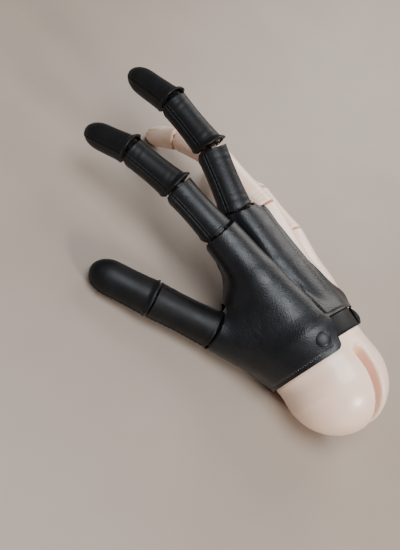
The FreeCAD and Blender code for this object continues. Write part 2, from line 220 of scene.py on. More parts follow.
def leather_material(name, grain_mm, grain_depth, roughness, dark, light, specular, creased=False):
    """Pored leather. A creased one has a wrinkled patch near the thumb's base."""
    shader = Shader(name, roughness, Specular_IOR_Level=specular)
    patches = shader.noise(14, 4)
    pores = shader.cells(grain_mm)
    hollows = shader.remap(pores, 0.1, 0.6, 0.35, 0.0)
    shader.colour(shader.mix(hollows, shader.ramp(patches, [(0.3, dark), (0.75, light)]), PORE_COLOUR))
    shader.set("Roughness", shader.remap(shader.noise(6, 5), *BETWEEN, roughness - 0.05, roughness + 0.08))
    shader.bump(pores, grain_depth)
    shader.bump(shader.noise(grain_mm * 2.2, 5, 0.6), grain_depth)
    shader.bump(shader.noise(11, 2), 0.12, 0.6)
    if creased:
        folds = shader.noise(3.2, 4, 0.5, stretch=(1.5, 0.45, 1.0))
        shader.bump(shader.product(folds, shader.near(WRINKLES, 8, 20)), 0.5, 0.8)
    return shader.material


def resin_material():
    """Flesh-coloured casting. One layer on the mesh warms it: blush on the bare fingers, painted warm light in the
    slot and painted glints in the clad joints' gaps. Another paints it near black as shade in the clad joints' gaps.
    """
    shader = Shader("cast_resin", 0.36, Subsurface_Weight=0.3, Subsurface_Radius=(1.0, 0.42, 0.26),
                    Subsurface_Scale=0.0028, Coat_Weight=0.35, Coat_Roughness=0.18)
    mottled = shader.ramp(shader.noise(16, 4), [(0.3, (0.92, 0.645, 0.50)), (0.7, (0.96, 0.70, 0.555))])
    # Warmer where the mesh's layer says: blush on the bare fingers, painted warm light and glints elsewhere
    warm = shader.mix(shader.attribute("blush"), mottled, (0.97, 0.62, 0.44))
    # Near black where the mesh's layer paints shade in the clad joints' gaps
    shader.colour(shader.mix(shader.attribute("lining"), warm, (0.010, 0.010, 0.011)))
    shader.set("Roughness", shader.remap(shader.noise(3, 6), *BETWEEN, 0.30, 0.46))
    shader.bump(shader.noise(1.1, 4), 0.02)
    shader.bump(shader.noise(7, 2), 0.10, 0.6)
    return shader.material


def metal_material(name, colour, roughness, streak_mm=0.25):
    """Metal with fine turning marks."""
    shader = Shader(name, roughness, 1.0)
    streaks = shader.noise(streak_mm, 3, stretch=(0.1, 1, 1))
    shader.colour(shader.ramp(streaks, [(0.3, tuple(0.75 * c for c in colour)), (0.7, colour)]))
    shader.set("Roughness", shader.remap(streaks, *BETWEEN, roughness - 0.08, roughness + 0.1))
    shader.bump(streaks, 0.01)
    return shader.material


def enamel_material():
    shader = Shader("snap_enamel", 0.42, Specular_IOR_Level=0.4)
    shader.colour(shader.ramp(shader.noise(2.5, 4), [(0.35, (0.004, 0.004, 0.0045)), (0.7, (0.009, 0.009, 0.010))]))
    shader.set("Roughness", shader.remap(shader.noise(1.2, 5), *BETWEEN, 0.38, 0.55))
    shader.bump(shader.noise(0.8, 3), 0.03)
    return shader.material


def thread_material(name, low, high, roughness, size_mm):
    shader = Shader(name, roughness)
    shader.colour(shader.ramp(shader.noise(size_mm, 4), [(0.3, low), (0.7, high)]))
    shader.set("Roughness", shader.remap(shader.noise(size_mm / 2, 4), *BETWEEN, roughness - 0.05, roughness + 0.1))
    shader.bump(shader.noise(size_mm / 3, 3), 0.02)
    return shader.material


BLACK_BLUE = (0.0042, 0.0045, 0.0056), (0.0080, 0.0086, 0.0105)
BLACK = (0.0042, 0.0042, 0.0044), (0.0080, 0.0080, 0.0084)
LEATHER_PALM = leather_material("leather_palm", 0.7, 0.075, 0.38, *BLACK_BLUE, 0.36, creased=True)
LEATHER_GRAINED = leather_material("leather_grained", 0.7, 0.06, 0.42, *BLACK_BLUE, 0.30)
LEATHER_SMOOTH = leather_material("leather_smooth", 0.55, 0.02, 0.45, *BLACK, 0.24)
THREAD = thread_material("waxed_thread", (0.02, 0.02, 0.022), (0.05, 0.05, 0.055), 0.33, 0.8)
RESIN = resin_material()
STEEL = metal_material("blackened_steel", (0.10, 0.095, 0.09), 0.4)
BRASS = metal_material("brass", (0.72, 0.54, 0.28), 0.3)
ENAMEL = enamel_material()
WASHER = metal_material("washer_bronze", (0.50, 0.22, 0.08), 0.4, 0.4)


# ---------------------------------------------------------------- pieces
def add_mesh(name, points, faces, body, material, slot, replaces=(), place=None, **paint):
    """One piece from points in millimetres, riding on a CAD body. paint is a value for each point, by layer name."""
    mesh = bpy.data.meshes.new(name)
    points = np.asarray(points, float)
    if place is not None:
        rotation, origin = place
        points = points @ rotation.T + origin
    mesh.from_pydata((points * MM).tolist(), [], [tuple(face) for face in faces])
    mesh.polygons.foreach_set("use_smooth", [True] * len(mesh.polygons))
    for layer, values in paint.items():
        mesh.attributes.new(layer, "FLOAT", "POINT").data.foreach_set("value", np.asarray(values, np.float32))
    mesh.update()
    mesh.validate()
    piece = bpy.data.objects.new(name, mesh)
    bpy.context.scene.collection.objects.link(piece)
    mesh.materials.append(material)
    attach(piece, body)
    if replaces:
        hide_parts(*replaces)
    return piece


def turn(axis, degrees):
    return np.array(Matrix.Rotation(math.radians(degrees), 3, axis))


def upright_to(direction):
    """The rotation that takes +Z to a direction."""
    return np.array(Vector((0, 0, 1)).rotation_difference(Vector(direction)).to_matrix())


def ease(t):
    """Smooth step from 0 to 1 of a t that is already between them."""
    return t * t * (3 - 2 * t)


def ramp_up(value, start, width):
    """0 up to start, 1 from start + width, straight in between."""
    return np.clip((value - start) / width, 0, 1)


def bump_at(distance, width):
    return np.exp(-(distance / width) ** 2)


def grid_faces(rows, columns, offset=0, wrap_rows=False):
    """Quads over a grid of rows that each close on themselves."""
    faces = []
    for i in range(rows if wrap_rows else rows - 1):
        for j in range(columns):
            a, b = i * columns, ((i + 1) % rows) * columns
            k = (j + 1) % columns
            faces.append((offset + a + j, offset + a + k, offset + b + k, offset + b + j))
    return faces


def closed_tube(rows, columns):
    """A grid's faces and a cap at each end."""
    caps = [tuple(reversed(range(columns))), tuple(range((rows - 1) * columns, rows * columns))]
    return grid_faces(rows, columns) + caps


# ---------------------------------------------------------------- implicit solids (signed distance fields)
def smooth_min(a, b, k):
    """Union of two fields, blended over a width k."""
    h = np.maximum(k - np.abs(a - b), 0) / k
    return np.minimum(a, b) - h * h * k / 4


def smooth_max(a, b, k):
    return -smooth_min(-a, -b, k)


def rod_field(p, start, end, radius_start, radius_end):
    """A tapered rod with round ends."""
    start, along = np.float32(start), np.float32(end) - np.float32(start)
    offset = p - start
    t = np.clip(offset @ along / (along @ along), 0, 1)
    return np.linalg.norm(offset - t[..., None] * along, axis=-1) - (radius_start + (radius_end - radius_start) * t)


def polygonise(field, low, high, step):
    """Quad mesh of a field's zero surface, sampled in slabs."""
    axes = [np.arange(a, b + step, step, dtype=np.float32) for a, b in zip(low, high)]
    values = np.empty([len(axis) for axis in axes], np.float32)
    y, z = np.meshgrid(axes[1], axes[2], indexing="ij")
    for i, x in enumerate(axes[0]):
        values[i] = field(np.stack([np.full_like(y, x), y, z], axis=-1))
    grid = openvdb.FloatGrid()
    grid.copyFromArray(np.clip(values, -3 * step, 3 * step).astype(float))
    points, quads = grid.convertToQuads()
    points = np.asarray(points) * step + np.array([axis[0] for axis in axes])
    return points, np.asarray(quads)[:, ::-1]


# ---------------------------------------------------------------- digits
class Digit:
    """A finger or the thumb. Each place is a rotation and an origin on the centre line beside the joint's pin."""

    def __init__(self, name, knuckle, spread, rise, length, radius, clad, swing, opening, roll=0):
        self.name, self.length, self.radius, self.clad, self.swing = name, length, radius, clad, swing
        self.segments = SEGMENTS[len(length)]
        rotation = turn("Z", spread) @ turn("X", rise[0]) @ turn("Y", roll)
        self.places = [(rotation, np.array(knuckle, float))]
        for i in range(1, len(length)):
            inner_rotation, inner_origin = self.places[-1]
            drop = PIVOT_DROP * radius[i]
            pivot = inner_origin + inner_rotation @ np.array([0, length[i - 1], -drop])
            rotation = inner_rotation @ turn("X", rise[i] - rise[i - 1])
            self.places.append((rotation, pivot + rotation @ np.array([0, 0, drop])))
        drop = PIVOT_DROP * radius[0]
        rotation, origin = self.places[0]
        open_rotation = rotation @ turn("X", opening)
        pivot = origin - rotation @ np.array([0, 0, drop])
        self.palm_place = (open_rotation, pivot + open_rotation @ np.array([0, 0, drop]))

    def body(self, i):
        return f"{self.name}_{self.segments[i]}_body"

    def slope(self, i):
        """How steeply the pieces' ends are bevelled below joint i, to leave room for its swing."""
        return math.tan(math.radians(self.swing[i] / 2 + 2))

    def local(self, p):
        """Points in the knuckle's own axes, with the finger fully open."""
        rotation, origin = self.palm_place
        return (p - np.float32(origin)) @ np.float32(rotation)


def seam_field(y, z, side, drop, slope):
    """Negative on the side of the joint where this piece's material is: bevelled below the hinge, square above."""
    square = JOINT_GAP - side * y
    return square + np.maximum(-drop - z, 0) * slope


def hinge_cylinder(y, z, drop):
    return np.hypot(y, z + drop)


def fork_field(f, x, y, z, radius):
    """Two cheeks either side of a slot, drilled for the pin."""
    distance = hinge_cylinder(y, z, PIVOT_DROP * radius)
    lobe = LOBE * radius
    sides = np.maximum(np.abs(x) - LOBE_OUT * radius, SLOT_IN_FORK * radius - np.abs(x))
    cheeks = np.maximum(np.maximum(distance - lobe, sides), np.hypot(x, z) - LOBE_WALL * radius)
    slot = np.maximum(distance - lobe - POCKET_GAP / 2, np.abs(x) - SLOT_IN_FORK * radius)
    f = np.maximum(np.minimum(f, cheeks), -slot)
    return np.maximum(f, PIN * radius - distance)


def tongue_field(f, x, y, z, radius):
    """A pocket for the cheeks, with a drilled tongue between them."""
    drop, lobe = PIVOT_DROP * radius, LOBE * radius
    distance = hinge_cylinder(y, z, drop)
    disc = lobe - POCKET_GAP / 2
    f = np.maximum(f, -np.maximum(distance - lobe - POCKET_GAP, np.abs(x) - POCKET_OUT * radius))
    neck = np.maximum(np.abs(z + drop) - 0.75 * disc, np.maximum(-y, y - lobe - 1.5))
    tongue = np.maximum(np.minimum(distance - disc, neck), np.abs(x) - TONGUE_HALF * radius)
    f = np.minimum(f, tongue)
    return np.maximum(f, PIN * radius + 0.05 - distance)


def joint_gap_shade(x, z, radius):
    """Painted shade in a joint's gap: 1 on the end face round the joint, less in the hinge's pocket, where painted
    glints show.
    """
    beyond = np.maximum(np.abs(x) - 0.68 * radius, np.abs(z + PIVOT_DROP * radius) - 0.65 * radius)
    # Painted glints: patches in the pocket where the warm casting shows through the painted shade
    painted_glint = (0.5 + 0.5 * np.sin(1.9 * x + 0.7) * np.sin(2.3 * z + 0.4)) ** 4
    return np.clip(beyond / 0.25 + 0.5, 0.99 - 0.05 * painted_glint, 1)


# ---------------------------------------------------------------- palm
# Rods of the palm's casting: start, end, start radius, end radius, blend width
PALM_RODS = (
    ((0, 10, 0), (0, 52, 1), 24.85, 12.0, 4),
    ((0, 25.5, 0), (0, 44, 0.5), 24.6, 14.5, 4),
    ((0, 26, -4), (-11, 76, 2), 12, 8.6, 8),
    ((5, 26, -4), (6, 80, 2), 12, 8.6, 8),
    ((14, 26, -5), (20, 74, 0.5), 12, 8.0, 8),
    ((13, 26, 0), (21, 44, -1), 16.4, 14, 8),
    ((21, 44, -3), (27, 64, -1), 13.3, 8.5, 8),
    ((-4, 18, -4), (-36, 52, -13), 18.6, 8.6, 9),
    ((-24, 42, -7), (-15, 66, 5), 7.5, 5.6, 9),
    ((-12, 28, 2), (-17.5, 56, 5), 15.0, 9.4, 12),
    ((-7, 25, 8.5), (-15, 58, 10.5), 14.2, 9.4, 5),
    ((-15, 58, 10.5), (-22, 88.5, 12.5), 9.4, 7.45, 4),
    ((13, 30, 7), (14.5, 92, 12), 9.0, 7.8, 3.5),
    ((20, 34, 2), (30, 76, 4), 11.0, 7.0, 3.5),
    ((-6.5, 29, 16.6), (-13.2, 60, 14.9), 4.9, 4.2, 3),
    ((-13.2, 60, 14.9), (-20, 87, 14.6), 4.2, 4.8, 3),
    ((3.0, 28, 11.6), (-1.8, 62, 12.8), 9.2, 7.3, 1.2),
    ((-1.8, 62, 12.8), (-4, 96.5, 14), 7.3, 7.45, 1.2),
    ((8, 32, 10.5), (4, 86, 12.7), 9.0, 6.6, 6),
)


# The crease between the index and middle ridges, from the flap's corner to the knuckles: y and x
CREASE_Y = (26, 37, 49, 61, 76, 88)
CREASE_X = (-5.6, -4.9, -6.4, -9.2, -9.6, -10.8)
CREASE_DEPTH, CREASE_WIDTH = 1.3, 0.9


def palm_form(p):
    """The casting's outer form, without knuckle cuts or slot. The strap's path round the wrist is kept clear."""
    x, y, z = p[..., 0], p[..., 1], p[..., 2]
    around = np.hypot(x, z)
    barrel = np.maximum(around - WRIST_RADIUS, np.abs(y - WRIST_MIDDLE) - WRIST_HALF)
    wrist = smooth_min(np.linalg.norm(p, axis=-1) - BALL_RADIUS, barrel, 2)
    rods = np.full(y.shape, 1e3, np.float32)
    for start, end, radius_start, radius_end, blend in PALM_RODS:
        rods = smooth_min(rods, rod_field(p, start, end, radius_start, radius_end), blend)
    rods = smooth_max(rods, PALM_LOW - z, 3)
    crease = bump_at(x - np.interp(y, CREASE_Y, CREASE_X), CREASE_WIDTH)
    crease = crease * ramp_up(y, 26, 2) * ramp_up(-y, -100, 20) * ramp_up(z, 8, 4)
    rods = rods + CREASE_DEPTH * crease
    strap_path = np.maximum(np.maximum(y - STRAP_FAR - 0.3, WRIST_RADIUS - around), FLAP_EDGE - x)
    return smooth_min(wrist, np.maximum(rods, -strap_path), 1.2)


def knuckle_cutter(p, digit):
    """Negative inside the room in front of a knuckle."""
    local = digit.local(p)
    radius = digit.radius[0]
    ahead = -seam_field(local[..., 1], local[..., 2], -1, PIVOT_DROP * radius, digit.slope(0))
    across = np.abs(local[..., 0]) - radius
    if digit.name == "thumb":
        return smooth_max(ahead, across - THUMB_ROOM, 5)
    return np.maximum(ahead, across - KNUCKLE_ROOM)


def slot_field(p):
    """Negative inside the wrist's slot, which ends a little past the top and bottom of the ball."""
    x, y, z = p[..., 0], p[..., 1], p[..., 2]
    past_top = y * math.cos(SLOT_LEAN) - np.abs(z) * math.sin(SLOT_LEAN)
    across = np.where(past_top > 0, np.hypot(x, past_top), np.abs(x))
    return np.maximum(across - SLOT_HALF, SLOT_FLOOR - np.hypot(y, z))


def palm_field(p):
    f = palm_form(p)
    for digit in digits:
        f = smooth_max(f, -knuckle_cutter(p, digit), 0.8)
    for digit in digits:
        local = digit.local(p)
        radius = digit.radius[0]
        near = np.abs(local).max(axis=-1) < 1.4 * radius
        if near.any():
            x, y, z = local[near].T
            f[near] = fork_field(f[near], x, y, z, radius)
    f = smooth_max(f, -slot_field(p), 1.8)
    bore = np.maximum(np.hypot(p[..., 0], p[..., 2]) - INSERT_RADIUS, p[..., 1] - INSERT_TOP)
    return np.maximum(f, -bore)


digits = [Digit(name, **sizes) for name, sizes in DIGITS.items()]


def make_palm():
    points, quads = polygonise(palm_field, (-47, -27.5, -27.5), (41, 105, 27.5), 0.5)
    from_axis = np.hypot(points[:, 1], points[:, 2])
    # Painted warm bounce light in the wrist's slot, stronger towards its floor
    in_slot = (np.abs(points[:, 0]) < SLOT_HALF + 0.4) & (points[:, 1] < 8) & (from_axis < BALL_RADIUS - 0.5)
    blush = np.where(in_slot, 0.15 + 0.35 * np.clip((BALL_RADIUS - from_axis) / 8, 0, 1), 0.0)
    # Painted shade on the casting in the gaps round each clad knuckle
    lining = np.zeros(len(points))
    for digit in digits:
        local = digit.local(points)
        # Warmth round each knuckle: blush for a bare finger, painted warm light in a clad finger's gap
        distance = np.linalg.norm(local - np.array([0, 2, 0]), axis=1)
        blush = np.maximum(blush, 0.35 * np.clip(1.5 - distance / digit.radius[0], 0, 1))
        if digit.clad:
            near = (np.abs(local[:, 0]) < 1.3 * digit.radius[0]) & (np.abs(local[:, 1]) < 5)
            near &= np.abs(local[:, 2]) < 2.5 * digit.radius[0]
            lining = np.maximum(lining, near * joint_gap_shade(local[:, 0], local[:, 2], digit.radius[0]))
    add_mesh("palm_casting", points, quads, "palm", RESIN, "resin", ("palm",), blush=blush, lining=lining)


# ---------------------------------------------------------------- the leather cover of the palm
# Outline of the leather seen from the back, before its corners are rounded
COVER_EDGE = (
    (-80, 14.5), (-11.0, 14.5), (-8.6, 29.3), (26.0, 29.3), (24.5, 32), (14.5, 42), (8.0, 55), (6.3, 68.0),
    (5.0, 80), (5.2, 97.0), (5.2, 120.0), (-80, 120.0),
)
COVER_ROUNDING = 3.0


def polygon_field(x, y, corners):
    """Signed distance to a closed polygon, negative inside."""
    distance = np.full(x.shape, np.inf)
    inside = np.zeros(x.shape, bool)
    for (ax, ay), (bx, by) in zip(corners, corners[1:] + corners[:1]):
        ex, ey = bx - ax, by - ay
        t = np.clip(((x - ax) * ex + (y - ay) * ey) / (ex * ex + ey * ey), 0, 1)
        distance = np.minimum(distance, np.hypot(x - ax - t * ex, y - ay - t * ey))
        crosses = (ay > y) != (by > y)
        if by != ay:
            inside ^= crosses & (x < ax + (y - ay) * ex / ey)
    return np.where(inside, -distance, distance)


def cover_region(p):
    """Negative where the leather lies."""
    g = polygon_field(p[..., 0], p[..., 1], COVER_EDGE) - COVER_ROUNDING
    for digit in digits:
        g = np.maximum(g, 0.15 - knuckle_cutter(p, digit))
    return g


def clip_sheet(points, quads, g):
    """The part of a mesh where g is negative, cut along g = 0."""
    triangles = np.concatenate([quads[:, [0, 1, 2]], quads[:, [0, 2, 3]]])
    keep = (g[triangles] < 0).sum(axis=1)
    points, faces, made = points.tolist(), triangles[keep == 3].tolist(), {}

    def crossing(a, b):
        key = (min(a, b), max(a, b))
        if key not in made:
            t = g[a] / (g[a] - g[b])
            made[key] = len(points)
            points.append([points[a][k] + t * (points[b][k] - points[a][k]) for k in range(3)])
        return made[key]

    for triangle in triangles[(keep == 1) | (keep == 2)].tolist():
        inside = [g[v] < 0 for v in triangle]
        lone = inside.index(True) if sum(inside) == 1 else inside.index(False)
        a, b, c = triangle[lone], triangle[(lone + 1) % 3], triangle[(lone + 2) % 3]
        ab, ac = crossing(a, b), crossing(a, c)
        if sum(inside) == 1:
            faces.append([a, ab, ac])
        else:
            faces.extend([[ab, b, c], [ab, c, ac]])
    points = np.array(points)
    used, index = np.unique(np.array(faces), return_inverse=True)
    return points[used], index.reshape(-1, 3)


FLAP_RISE = 0.75
GROOVE_DEPTH, GROOVE_WIDTH = 0.4, 0.75


def cover_height(x, y, z):
    """Height of the leather's outside above the casting. The flap rises over the strap; stitches lie in a groove."""
    over_strap = ramp_up(x, -30, 12) * ramp_up(-x, 3.5, 2) * ramp_up(z, 0, 8)
    over_strap = over_strap * ramp_up(y, 8, 6) * ramp_up(-y, -STRAP_FAR - 8, 8)
    groove = bump_at(y - STITCH_LINE, GROOVE_WIDTH) * ramp_up(-x, 11, 1.5)
    return SKIN + FLAP_RISE * ease(over_strap) - GROOVE_DEPTH * groove


def cover_field(p):
    return palm_form(p) - cover_height(p[..., 0], p[..., 1], p[..., 2])


def make_cover():
    points, quads = polygonise(cover_field, (-49, 8, -28), (41, 106, 28), 0.55)
    points, faces = clip_sheet(points, quads, cover_region(points))
    cover = add_mesh("palm_cover_leather", points, faces, "palm", LEATHER_PALM, "leather", ("palm_cover",))
    add_thickness(cover, LEATHER)


def add_thickness(piece, thickness):
    """Gives an open sheet its thickness, inwards from its outside."""
    solidify = piece.modifiers.new("thickness", "SOLIDIFY")
    solidify.thickness = thickness * MM
    solidify.offset = -1
    solidify.use_even_offset = False
    graph = bpy.context.evaluated_depsgraph_get()
    mesh = bpy.data.meshes.new_from_object(piece.evaluated_get(graph))
    piece.modifiers.clear()
    piece.data = mesh


# ---------------------------------------------------------------- finger shapes
SEAM_ANGLE = math.radians(168)      # round the finger from +X through the back
SEAM_STITCH = 2.4


def segment_radius(digit, i, y, angle):
    """Outer radius of a phalanx at distance y along it and an angle round it."""
    start = digit.radius[i]
    t = np.clip(y / digit.length[i], 0, 1)
    if i + 1 < len(digit.segments):
        end = digit.radius[i + 1]
        waist = (0.055 if digit.clad else 0.075) * start * np.sin(math.pi * t) ** 1.3
        return start + (end - start) * t - waist
    body = start * (1 - 0.06 * t - 0.03 * np.sin(math.pi * np.clip(t / 0.75, 0, 1)))
    cap = np.clip((t - 0.62) / 0.38, 0, 1)
    dome = np.sqrt(np.clip(1 - cap ** 2.3, 0, 1))
    flat = 1 - (0.10 if digit.clad else 0.16) * np.clip((t - 0.2) / 0.6, 0, 1) * np.abs(np.sin(angle)) ** 2
    pad = 1 + 0.06 * bump_at(t - 0.55, 0.25) * np.clip(-np.sin(angle), 0, 1)
    return body * dome * flat * pad


def seam_relief(arc, y):
    """Height of the sewn side seam at a distance from its centre line, with its stitches' pull along it."""
    pull = 0.10 * np.sin(2 * math.pi * y / SEAM_STITCH)
    return (0.36 + pull) * bump_at(np.abs(arc) - 0.8, 0.36) - 0.30 * bump_at(arc, 0.28)


def rim_lines(digit, i, z):
    """Where a sleeve starts and ends, at height z on its circumference."""
    slope = digit.slope(i)
    start = JOINT_GAP + np.maximum(-PIVOT_DROP * digit.radius[i] - z, 0) * slope
    if i + 1 == len(digit.segments):
        return start, None
    stop = np.maximum(-PIVOT_DROP * digit.radius[i + 1] - z, 0) * digit.slope(i + 1)
    return start, digit.length[i] - JOINT_GAP - stop


# How far a sleeve's rim laps back over the joint on the back, and how much wider it is there
HOOD_REACH, HOOD_FLARE = 1.3, 1.25


def make_sleeve(digit, i):
    columns, rows, seed = 150, 64, 3.1 * i + len(digit.name)
    turned = 0.22                       # rounding of the cut edge
    angle = np.linspace(0, 2 * math.pi, columns, endpoint=False)
    joint, stop = rim_lines(digit, i, digit.radius[i] * np.sin(angle))
    hood = (i > 0) * (0.8 if digit.name == "thumb" else 1.0)
    widened = HOOD_FLARE * hood * ease(np.clip(3 * np.sin(angle), 0, 1))
    start = joint - HOOD_REACH * hood * ease(np.clip(2.2 * np.sin(angle) - 0.9, 0, 1))
    is_tip = stop is None
    if is_tip:
        stop = np.full(columns, float(digit.length[i]))
        spacing = 1 - (1 - np.linspace(0, 1, rows)) ** 1.8
    else:
        spacing = np.linspace(0, 1, rows)
    rings = []

    def relief(y, radius):
        """The seam, the rims' lips and faint folds near the joints."""
        arc = np.angle(np.exp(1j * (angle - SEAM_ANGLE))) * radius
        fade = ramp_up(y, start, 1.5) * (ramp_up(-y, -stop, 1.5) if not is_tip else ramp_up(-y, -stop, 2.5))
        lip = 0.30 * bump_at(y - start - 0.5, 0.75)
        near_joint = bump_at(y - joint - 4, 3.5)
        if not is_tip:
            lip = lip + 0.12 * bump_at(stop - y - 0.5, 0.75)
            near_joint = near_joint + bump_at(stop - y - 5, 3)
        folds = 0.06 * np.sin(1.7 * y + 1.6 * np.sin(2 * angle + seed)) * np.sin(angle + seed)
        return seam_relief(arc, y) * fade + lip + folds * near_joint

    def ring(y, inset, outside):
        y = np.broadcast_to(y, (columns,))
        flare = ease(np.clip((joint + 2.0 - y) / 2.2, 0, 1))
        radius = segment_radius(digit, i, y, angle) - inset + widened * flare
        if outside:
            radius = radius + relief(y, radius)
        rings.append(np.stack([radius * np.cos(angle), y, radius * np.sin(angle)], axis=1))

    span = stop - start - (1 if is_tip else 2) * turned
    spacing = spacing[:-1] if is_tip else spacing
    ring(start, LEATHER - turned, False)
    ring(start, turned, True)
    for s in spacing:
        ring(start + turned + span * s, 0.0, True)
    outer_count = len(rings)
    if not is_tip:
        ring(stop, turned, True)
        ring(stop, LEATHER - turned, False)
    for s in reversed(spacing[::3]):
        ring(start + turned + span * s, LEATHER, False)
    points, count = np.concatenate(rings), len(rings)
    if is_tip:
        tip_out, tip_in = len(points), len(points) + 1
        points = np.concatenate([points, [[0, digit.length[i], 0], [0, digit.length[i] - LEATHER, 0]]])
        faces = grid_faces(outer_count, columns)
        faces += grid_faces(count - outer_count, columns, outer_count * columns)
        a, b, c = (row * columns for row in (outer_count - 1, outer_count, count - 1))
        for j in range(columns):
            k = (j + 1) % columns
            faces += [(a + j, a + k, tip_out), (b + k, b + j, tip_in), (c + j, c + k, k, j)]
    else:
        faces = grid_faces(count, columns, wrap_rows=True)
    faces = [tuple(reversed(face)) for face in faces]
    node = f"{digit.name}_{digit.segments[i]}_sleeve"
    material = LEATHER_GRAINED if (digit.name, i) in (("index", 0), ("middle", 0)) else LEATHER_SMOOTH
    add_mesh(f"{node}_leather", points, faces, digit.body(i), material, "leather", (node,), place=digit.places[i])


def nail_relief(digit, y, angle):
    """A sculpted nail on the back of a bare fingertip: a raised plate inside a fine groove."""
    length = digit.length[-1]
    t = (y / length - 0.70) / 0.25
    across = np.angle(np.exp(1j * (angle - math.pi / 2))) / 0.80
    reach = (np.abs(t) ** 3.2 + np.abs(across) ** 3.2) ** (1 / 3.2)
    plate = 0.22 * np.clip((1 - reach) / 0.10, 0, 1)
    return plate - 0.32 * bump_at(reach - 1.04, 0.07) * (t < 0.9)


def crease_relief(y, angle, centre):
    """Skin folds across the back of a joint."""
    back = np.clip(np.sin(angle), 0, 1) ** 2
    return -0.16 * back * sum(bump_at(y - centre - shift, 0.35) for shift in (-2.2, 0, 2.1))


def make_casting(digit, i):
    length, radius = digit.length[i], digit.radius[i]
    is_tip = i + 1 == len(digit.segments)
    far = None if is_tip else digit.radius[i + 1]
    inset = SKIN + 0.05 if digit.clad else 0.0

    def field(p):
        x, y, z = p[..., 0], p[..., 1], p[..., 2]
        angle = np.arctan2(z, x)
        wall = segment_radius(digit, i, y + (inset if is_tip else 0), angle) - inset
        if is_tip and not digit.clad:
            wall = wall + nail_relief(digit, y, angle)
        if not digit.clad:
            wall = wall + crease_relief(y, angle, 5.5)
        f = (np.hypot(x, z) - wall) * (0.8 if is_tip else 0.97)
        f = smooth_max(f, seam_field(y, z, 1, PIVOT_DROP * radius, digit.slope(i)), 0.9)
        if is_tip:
            f = np.maximum(f, y - length)
        else:
            f = smooth_max(f, seam_field(y - length, z, -1, PIVOT_DROP * far, digit.slope(i + 1)), 0.9)
        f = tongue_field(f, x, y, z, radius)
        return f if is_tip else fork_field(f, x, y - length, z, far)

    points, quads = polygonise(field, (-radius - 1.2, -radius / 2 - 1, -radius - 1.2),
                               (radius + 1.2, length + radius / 2 + 1, radius + 1.2), 0.3)
    x, y, z = points.T
    # Warmth near the joints: blush on a bare finger, painted warm glints on a clad one
    near_joint = bump_at(y, 5) + (0.5 * bump_at(y - length, 7) if is_tip else bump_at(y - length, 5))
    # A clad casting is painted near black as shade wherever its sleeves' gaps show it, except for painted glints in
    # the hinge's pocket
    lining = np.zeros(len(points))
    if digit.clad:
        lining = joint_gap_shade(x, z, radius)
        if not is_tip:
            lining = np.where(y > length / 2, joint_gap_shade(x, z, far), lining)
    node = f"{digit.name}_{digit.segments[i]}"
    add_mesh(f"{node}_casting", points, quads, digit.body(i), RESIN, "resin", (node,),
             place=digit.places[i], blush=(0.9 if digit.clad else 0.45) * near_joint, lining=lining)


# ---------------------------------------------------------------- wrist strap, snaps and stitching
def radial(angle):
    """Outward direction round the wrist, degrees from its back towards the little finger."""
    return np.array([math.sin(math.radians(angle)), 0, math.cos(math.radians(angle))])


def make_band(name, start, stop, radius_at, near, far, node, end_round):
    """A strap round the wrist with rounded edges. radius_at gives its inner radius at each angle, and end_round is
    how much of its far end is rounded off."""
    steps = int(abs(stop - start) / 1.5)
    edge, crown = 0.25, 0.06
    rings = []
    for step in range(steps + 1):
        angle = start + (stop - start) * step / steps
        out, inner = radial(angle), radius_at(angle)
        left = (stop - angle) * math.radians(1) * inner
        narrow = 0.0
        if end_round and left < end_round:
            narrow = end_round - math.sqrt(max(end_round ** 2 - (end_round - left) ** 2, 0.05))
        low, high = near + narrow, far - narrow
        section = [(low + edge, 0), (low, edge), (low, LEATHER - edge), (low + edge, LEATHER)]
        for t in (0.12, 0.3, 0.5, 0.7, 0.88):
            section.append((low + (high - low) * t, LEATHER + crown * math.sin(math.pi * t)))
        section += [(high - edge, LEATHER), (high, LEATHER - edge), (high, edge), (high - edge, 0)]
        rings.append([out * (inner + rise) + np.array([0, y, 0]) for y, rise in section])
    columns = len(rings[0])
    points = np.array(rings).reshape(-1, 3)
    return add_mesh(name, points, closed_tube(len(rings), columns), "palm", LEATHER_SMOOTH, "leather", (node,))


def make_lathe(name, profile, centre, direction, material, slot, replaces, columns=72):
    """A turned piece from (radius, height) points, standing on centre along direction."""
    angle = np.linspace(0, 2 * math.pi, columns, endpoint=False)
    points = []
    for radius, height in profile:
        points.append(np.stack([radius * np.cos(angle), radius * np.sin(angle), np.full(columns, height)], axis=1))
    points = np.concatenate(points)
    faces = closed_tube(len(profile), columns)
    return add_mesh(name, points, faces, "palm", material, slot, replaces, place=(upright_to(direction), centre))


def snap_profile():
    """Domed cap with a rolled rim and a fine groove inside it."""
    rim = [(3.4, 0.0), (4.1, 0.02), (4.4, 0.3), (4.4, 0.6), (4.28, 0.82), (4.1, 0.9), (3.95, 0.82), (3.88, 0.72)]
    dome = [(3.8 * math.cos(a), 0.72 + 1.35 * math.sin(a)) for a in np.linspace(0.06, math.pi / 2 - 0.02, 12)]
    return rim + dome


def surface_point(y, angle, clearance):
    """Point on the leather's outside at this y and angle round the wrist."""
    out = radial(angle)
    low, high = 15.0, 45.0              # radii inside and outside the leather
    for _ in range(30):
        middle = (low + high) / 2
        p = np.array([out * middle + np.array([0, y, 0])])
        if cover_field(p)[0] > 0:
            high = middle
        else:
            low = middle
    return out * (high + clearance) + np.array([0, y, 0])


